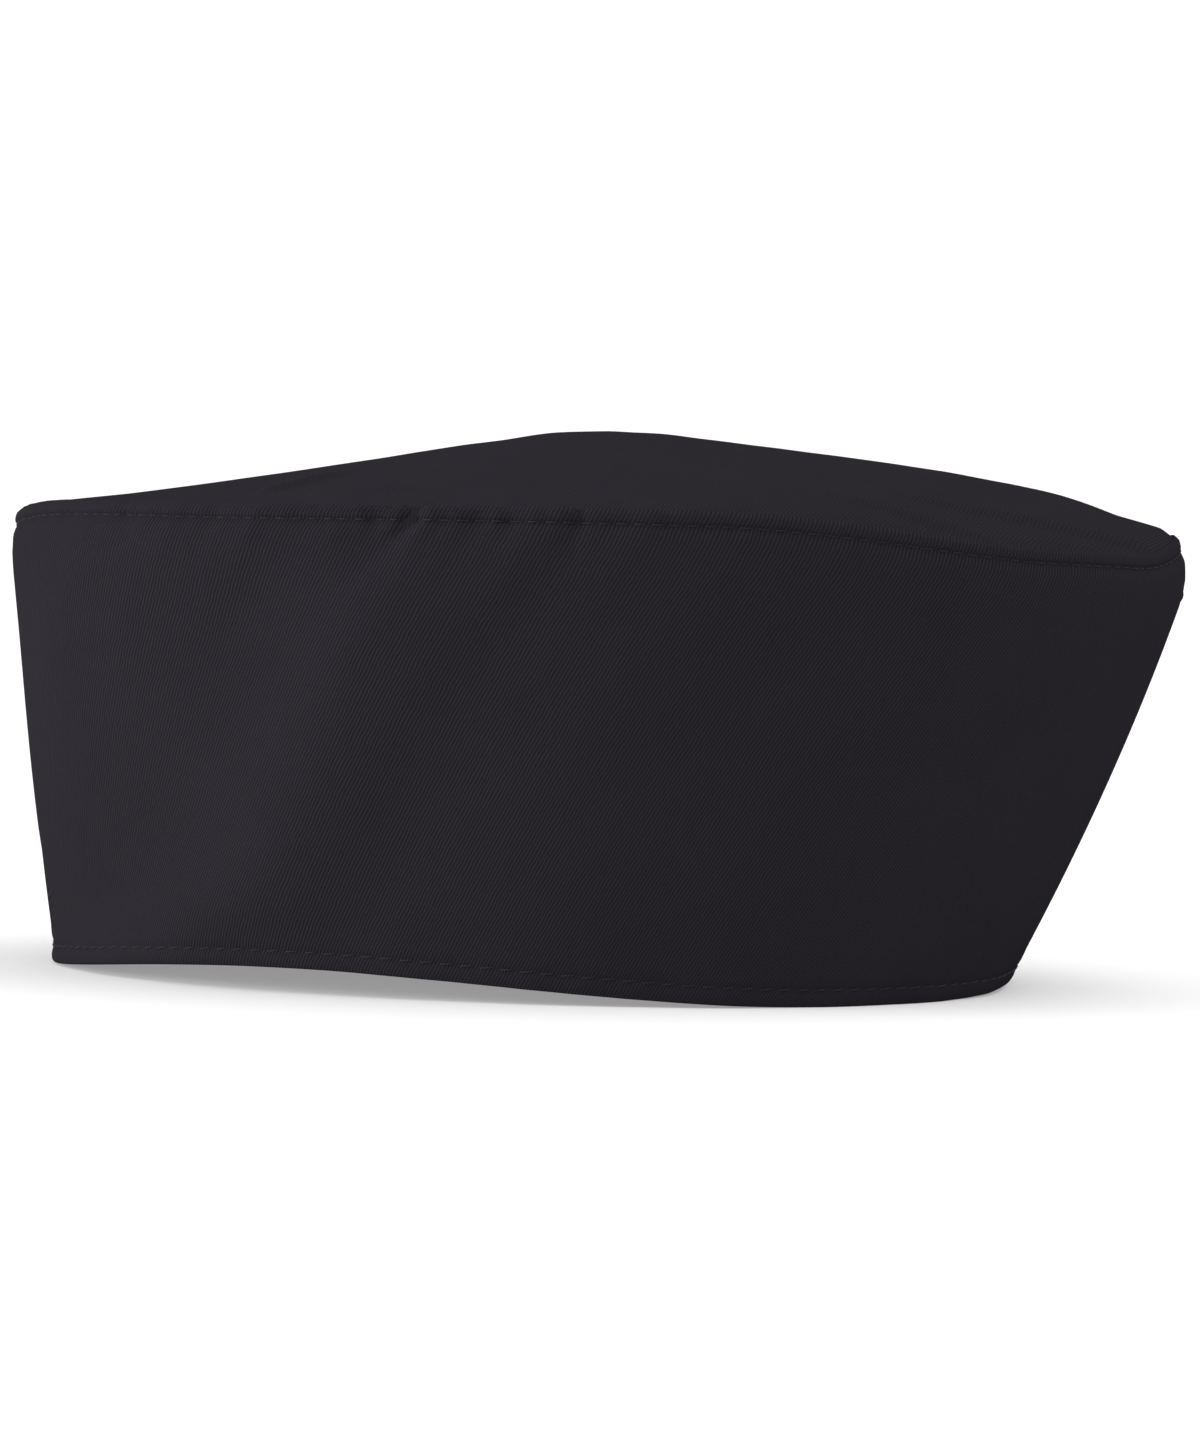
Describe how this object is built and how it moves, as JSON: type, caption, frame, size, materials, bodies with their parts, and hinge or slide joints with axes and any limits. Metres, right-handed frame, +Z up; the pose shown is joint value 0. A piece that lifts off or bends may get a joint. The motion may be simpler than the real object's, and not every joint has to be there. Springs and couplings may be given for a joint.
{
  "type": "chef skull cap",
  "caption": "Low black cotton twill cap: a deep stiffened band that leans out to a softly domed crown, with a hook-and-loop flap closing the back.",
  "frame": {"origin": "centre of the overall box in plan, at the level of the hem", "axes": "+Z up through the crown; the front of the cap faces -X and the closure is at +X; +Y is the wearer's right"},
  "size_m": [0.2446, 0.171, 0.1133],
  "materials": {
    "black_twill": "matte cotton-blend twill",
    "interlining": "matte non-woven",
    "seam_tape": "matte plain weave",
    "thread": "spun sewing thread",
    "hook_tape": "woven nylon with stiff hooks",
    "loop_tape": "brushed nylon loops",
    "label": "blank woven satin"
  },
  "bodies": {
    "cap": {"band_outer": "black_twill", "band_stiffener": "interlining", "band_lining": "black_twill", "crown_panel": "black_twill", "crown_seam_tape": "seam_tape", "crown_topstitch": "thread", "hem_topstitch": "thread", "care_label": "label", "loop_tape": "loop_tape", "flap_bartack": "thread"},
    "flap": {"rear_flap_outer": "black_twill", "rear_flap_facing": "black_twill", "hook_tape": "hook_tape", "hook_tape_stitch": "thread", "flap_topstitch": "thread"}
  },
  "joints": [
    {"name": "flap_peel", "type": "hinge", "parent": "cap", "child": "flap", "pos_m": [0.109, 0, 0.048], "axis": [-0.3891, 0, -0.9212], "range_deg": [0, 110]}
  ]
}
